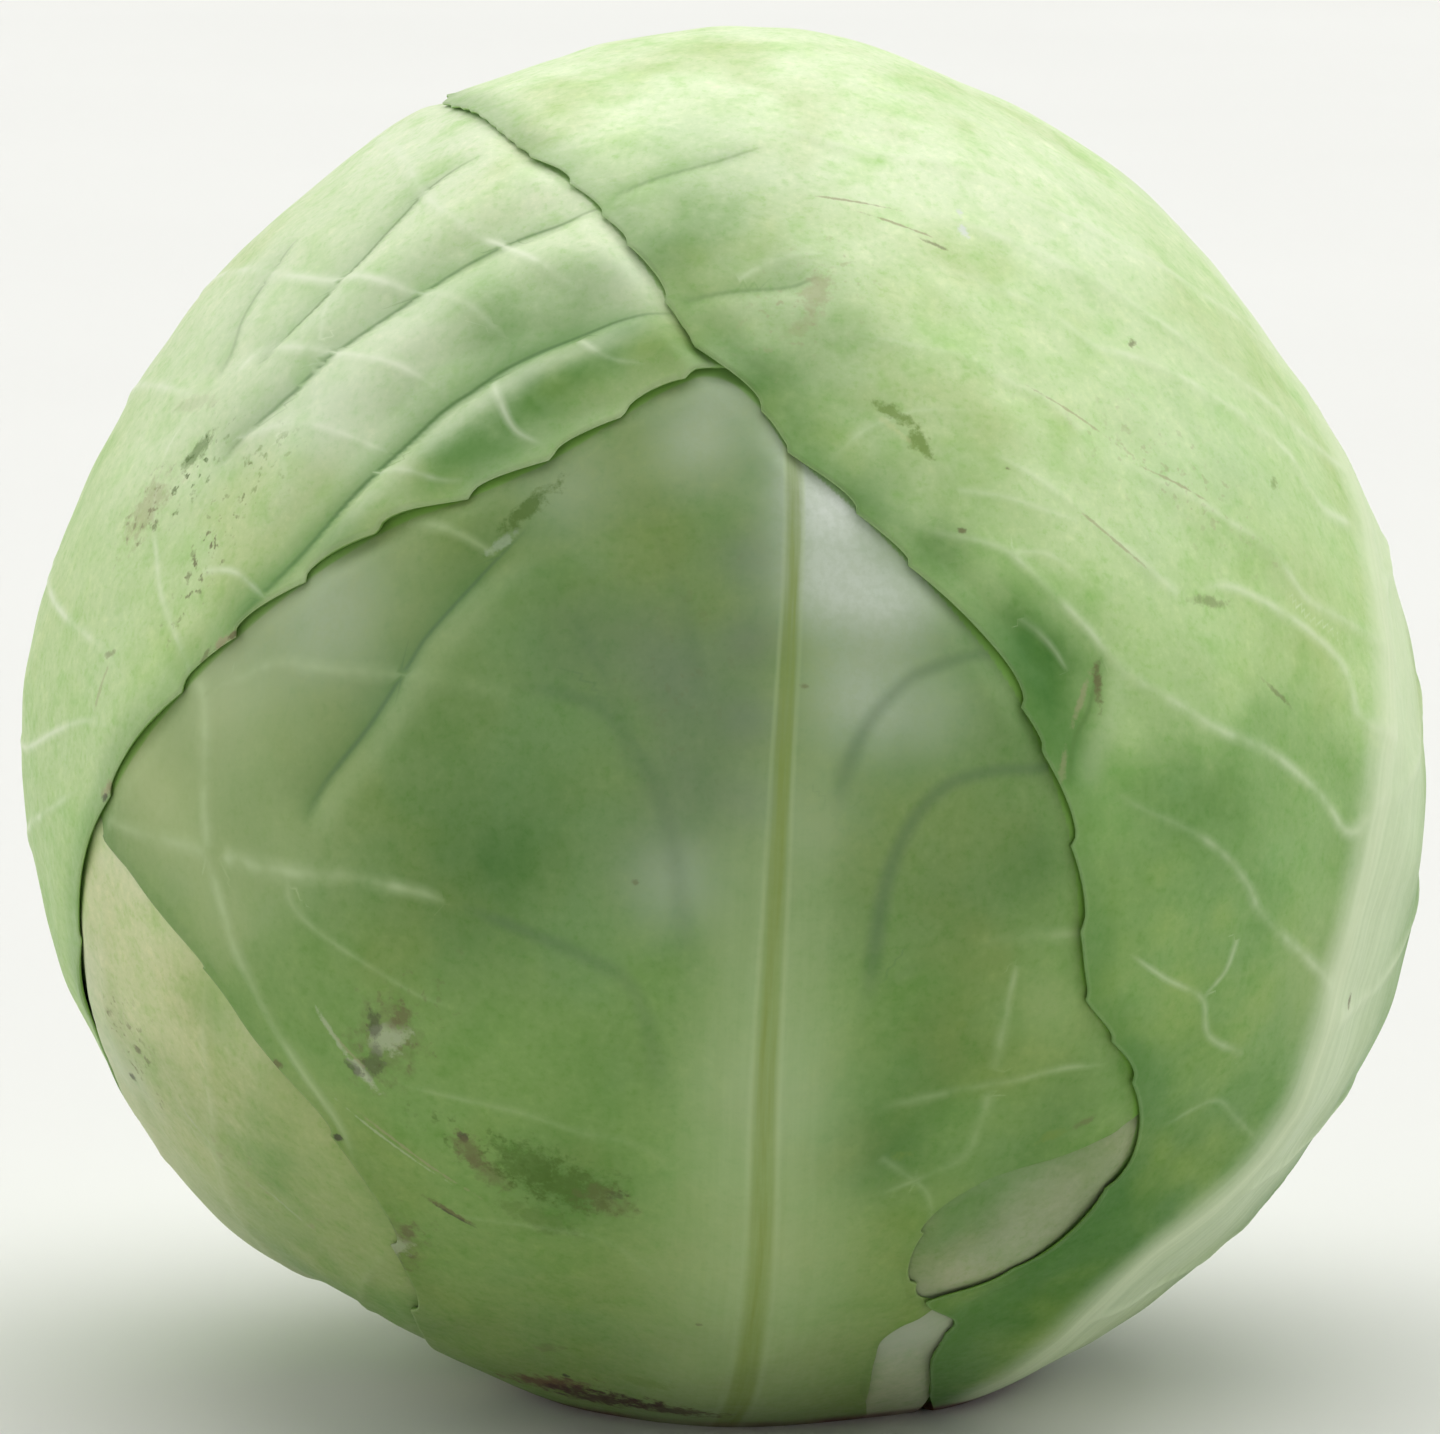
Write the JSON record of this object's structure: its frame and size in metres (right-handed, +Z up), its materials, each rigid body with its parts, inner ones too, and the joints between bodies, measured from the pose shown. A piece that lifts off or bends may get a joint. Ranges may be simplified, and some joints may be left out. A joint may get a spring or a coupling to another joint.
{
  "type": "cabbage head",
  "caption": "Round head of white cabbage in its green wrapper leaves, trimmed flat below so that it stands.",
  "frame": {"origin": "centre of the flat cut below the head, where the stem was trimmed", "axes": "+Z up through the stem and the head, -Y towards the front leaf whose midrib faces forward, +X to the right seen from the front"},
  "size_m": [0.1806, 0.1802, 0.1749],
  "materials": {
    "outer_leaf": "satin",
    "front_leaf": "satin",
    "inner_leaf": "satin",
    "heart": "satin",
    "stem": "matte"
  },
  "bodies": {
    "root": {"right_leaf": "outer_leaf", "left_leaf": "outer_leaf", "front_leaf": "front_leaf", "back_leaf": "front_leaf", "inner_left_leaf": "inner_leaf", "inner_right_leaf": "inner_leaf", "heart": "heart", "stem": "stem"}
  },
  "joints": []
}
